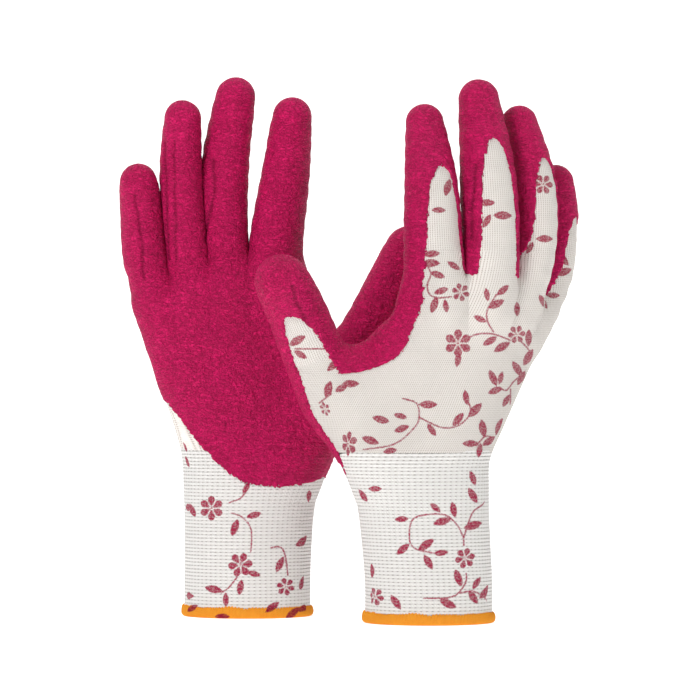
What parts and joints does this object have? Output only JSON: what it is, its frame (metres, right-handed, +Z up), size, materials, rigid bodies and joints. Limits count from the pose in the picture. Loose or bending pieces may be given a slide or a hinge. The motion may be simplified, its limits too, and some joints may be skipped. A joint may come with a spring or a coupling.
{
  "type": "gardening gloves",
  "caption": "Knitted gardening gloves with dipped crinkle latex palms and digits, floral printed backs and overlocked cuffs, standing filled on their open cuffs",
  "frame": {"origin": "centre of the pair's footprint box, on the plane the cuffs stand on", "axes": "+Z up along the hands from cuff to fingertips; +X across the pair, from the rear glove to the front glove; +Y from front to back, so the palm of the rear glove faces -Y and the back of the front glove faces -Y"},
  "size_m": [0.2022, 0.1006, 0.2396],
  "materials": {
    "knit_liner": "fine cream jersey knit with a rose floral print",
    "cuff_knit": "coarse cream elastic knit with a rose floral print",
    "latex_coating": "satin crinkled foam latex, magenta",
    "edge_thread": "orange overlocked thread",
    "elastic_yarn": "covered elastic yarn, off white"
  },
  "bodies": {
    "rear_glove": {"rear_hand_liner": "knit_liner", "rear_hand_coating": "latex_coating", "rear_cuff": "cuff_knit", "rear_cuff_elastic": "elastic_yarn", "rear_edge_binding": "edge_thread"},
    "front_glove": {"front_hand_liner": "knit_liner", "front_hand_coating": "latex_coating", "front_cuff": "cuff_knit", "front_cuff_elastic": "elastic_yarn", "front_edge_binding": "edge_thread"},
    "rear_thumb_lower": {"rear_thumb_lower_liner": "knit_liner", "rear_thumb_lower_coating": "latex_coating"},
    "rear_thumb_upper": {"rear_thumb_upper_liner": "knit_liner", "rear_thumb_upper_coating": "latex_coating"},
    "rear_index_lower": {"rear_index_lower_liner": "knit_liner", "rear_index_lower_coating": "latex_coating"},
    "rear_index_upper": {"rear_index_upper_liner": "knit_liner", "rear_index_upper_coating": "latex_coating"},
    "rear_middle_lower": {"rear_middle_lower_liner": "knit_liner", "rear_middle_lower_coating": "latex_coating"},
    "rear_middle_upper": {"rear_middle_upper_liner": "knit_liner", "rear_middle_upper_coating": "latex_coating"},
    "rear_ring_lower": {"rear_ring_lower_liner": "knit_liner", "rear_ring_lower_coating": "latex_coating"},
    "rear_ring_upper": {"rear_ring_upper_liner": "knit_liner", "rear_ring_upper_coating": "latex_coating"},
    "rear_little_lower": {"rear_little_lower_liner": "knit_liner", "rear_little_lower_coating": "latex_coating"},
    "rear_little_upper": {"rear_little_upper_liner": "knit_liner", "rear_little_upper_coating": "latex_coating"},
    "front_thumb_lower": {"front_thumb_lower_liner": "knit_liner", "front_thumb_lower_coating": "latex_coating"},
    "front_thumb_upper": {"front_thumb_upper_liner": "knit_liner", "front_thumb_upper_coating": "latex_coating"},
    "front_index_lower": {"front_index_lower_liner": "knit_liner", "front_index_lower_coating": "latex_coating"},
    "front_index_upper": {"front_index_upper_liner": "knit_liner", "front_index_upper_coating": "latex_coating"},
    "front_middle_lower": {"front_middle_lower_liner": "knit_liner", "front_middle_lower_coating": "latex_coating"},
    "front_middle_upper": {"front_middle_upper_liner": "knit_liner", "front_middle_upper_coating": "latex_coating"},
    "front_ring_lower": {"front_ring_lower_liner": "knit_liner", "front_ring_lower_coating": "latex_coating"},
    "front_ring_upper": {"front_ring_upper_liner": "knit_liner", "front_ring_upper_coating": "latex_coating"},
    "front_little_lower": {"front_little_lower_liner": "knit_liner", "front_little_lower_coating": "latex_coating"},
    "front_little_upper": {"front_little_upper_liner": "knit_liner", "front_little_upper_coating": "latex_coating"}
  },
  "joints": [
    {"name": "front_glove_slides_away", "type": "slide", "parent": "rear_glove", "child": "front_glove", "axis": [0, -1, 0], "range_m": [0, 0.12]},
    {"name": "rear_thumb_knuckle_fold", "type": "hinge", "parent": "rear_glove", "child": "rear_thumb_lower", "pos_m": [0.00517, 0.02169, 0.1222], "axis": [-0.0084, -0.9998, -0.0162], "range_deg": [0, 20], "stiffness_Nm_per_rad": 0.03},
    {"name": "rear_thumb_middle_fold", "type": "hinge", "parent": "rear_thumb_lower", "child": "rear_thumb_upper", "pos_m": [0.0164, 0.02095, 0.1425], "axis": [-0.0084, -0.9998, -0.0162], "range_deg": [0, 50], "stiffness_Nm_per_rad": 0.03},
    {"name": "rear_index_knuckle_fold", "type": "hinge", "parent": "rear_glove", "child": "rear_index_lower", "pos_m": [-0.03189, 0.02721, 0.17489], "axis": [0.9913, 0, -0.1314], "range_deg": [0, 75], "stiffness_Nm_per_rad": 0.03},
    {"name": "rear_index_middle_fold", "type": "hinge", "parent": "rear_index_lower", "child": "rear_index_upper", "pos_m": [-0.0285, 0.02495, 0.199], "axis": [0.9913, 0, -0.1314], "range_deg": [0, 80], "stiffness_Nm_per_rad": 0.03},
    {"name": "rear_middle_knuckle_fold", "type": "hinge", "parent": "rear_glove", "child": "rear_middle_lower", "pos_m": [-0.05554, 0.02702, 0.17594], "axis": [0.9972, 0, -0.0746], "range_deg": [0, 75], "stiffness_Nm_per_rad": 0.03},
    {"name": "rear_middle_middle_fold", "type": "hinge", "parent": "rear_middle_lower", "child": "rear_middle_upper", "pos_m": [-0.0557, 0.02395, 0.202], "axis": [0.9972, 0, -0.0746], "range_deg": [0, 80], "stiffness_Nm_per_rad": 0.03},
    {"name": "rear_ring_knuckle_fold", "type": "hinge", "parent": "rear_glove", "child": "rear_ring_lower", "pos_m": [-0.07336, 0.02472, 0.17288], "axis": [0.9997, 0, 0.0244], "range_deg": [0, 75], "stiffness_Nm_per_rad": 0.03},
    {"name": "rear_ring_middle_fold", "type": "hinge", "parent": "rear_ring_lower", "child": "rear_ring_upper", "pos_m": [-0.0754, 0.02095, 0.197], "axis": [0.9997, 0, 0.0244], "range_deg": [0, 80], "stiffness_Nm_per_rad": 0.03},
    {"name": "rear_little_knuckle_fold", "type": "hinge", "parent": "rear_glove", "child": "rear_little_lower", "pos_m": [-0.09185, 0.02659, 0.16685], "axis": [0.9962, 0, 0.087], "range_deg": [0, 75], "stiffness_Nm_per_rad": 0.03},
    {"name": "rear_little_middle_fold", "type": "hinge", "parent": "rear_little_lower", "child": "rear_little_upper", "pos_m": [-0.0933, 0.02395, 0.182], "axis": [0.9962, 0, 0.087], "range_deg": [0, 80], "stiffness_Nm_per_rad": 0.03},
    {"name": "front_thumb_knuckle_fold", "type": "hinge", "parent": "front_glove", "child": "front_thumb_lower", "pos_m": [-0.01616, -0.02325, 0.11929], "axis": [0.4734, -0.8408, -0.2627], "range_deg": [0, 20], "stiffness_Nm_per_rad": 0.03},
    {"name": "front_thumb_middle_fold", "type": "hinge", "parent": "front_thumb_lower", "child": "front_thumb_upper", "pos_m": [-0.0238, -0.03205, 0.138], "axis": [0.4734, -0.8408, -0.2627], "range_deg": [0, 50], "stiffness_Nm_per_rad": 0.03},
    {"name": "front_index_knuckle_fold", "type": "hinge", "parent": "front_glove", "child": "front_index_lower", "pos_m": [0.03651, -0.0183, 0.16796], "axis": [-0.9397, -0.342, -0.0026], "range_deg": [0, 45], "stiffness_Nm_per_rad": 0.03},
    {"name": "front_index_middle_fold", "type": "hinge", "parent": "front_index_lower", "child": "front_index_upper", "pos_m": [0.0356, -0.01605, 0.192], "axis": [-0.9397, -0.342, -0.0026], "range_deg": [0, 45], "stiffness_Nm_per_rad": 0.03},
    {"name": "front_middle_knuckle_fold", "type": "hinge", "parent": "front_glove", "child": "front_middle_lower", "pos_m": [0.06142, -0.01235, 0.16797], "axis": [-0.9396, -0.342, -0.0143], "range_deg": [0, 75], "stiffness_Nm_per_rad": 0.03},
    {"name": "front_middle_middle_fold", "type": "hinge", "parent": "front_middle_lower", "child": "front_middle_upper", "pos_m": [0.0608, -0.01005, 0.194], "axis": [-0.9396, -0.342, -0.0143], "range_deg": [0, 80], "stiffness_Nm_per_rad": 0.03},
    {"name": "front_ring_knuckle_fold", "type": "hinge", "parent": "front_glove", "child": "front_ring_lower", "pos_m": [0.08107, 0.00011, 0.16797], "axis": [-0.9393, -0.3419, -0.0306], "range_deg": [0, 75], "stiffness_Nm_per_rad": 0.03},
    {"name": "front_ring_middle_fold", "type": "hinge", "parent": "front_ring_lower", "child": "front_ring_upper", "pos_m": [0.0818, 0.00195, 0.19], "axis": [-0.9393, -0.3419, -0.0306], "range_deg": [0, 80], "stiffness_Nm_per_rad": 0.03},
    {"name": "front_little_knuckle_fold", "type": "hinge", "parent": "front_glove", "child": "front_little_lower", "pos_m": [0.09208, 0.01607, 0.16086], "axis": [-0.9358, -0.3406, 0.0911], "range_deg": [0, 75], "stiffness_Nm_per_rad": 0.03},
    {"name": "front_little_middle_fold", "type": "hinge", "parent": "front_little_lower", "child": "front_little_upper", "pos_m": [0.0937, 0.01795, 0.174], "axis": [-0.9358, -0.3406, 0.0911], "range_deg": [0, 80], "stiffness_Nm_per_rad": 0.03}
  ]
}
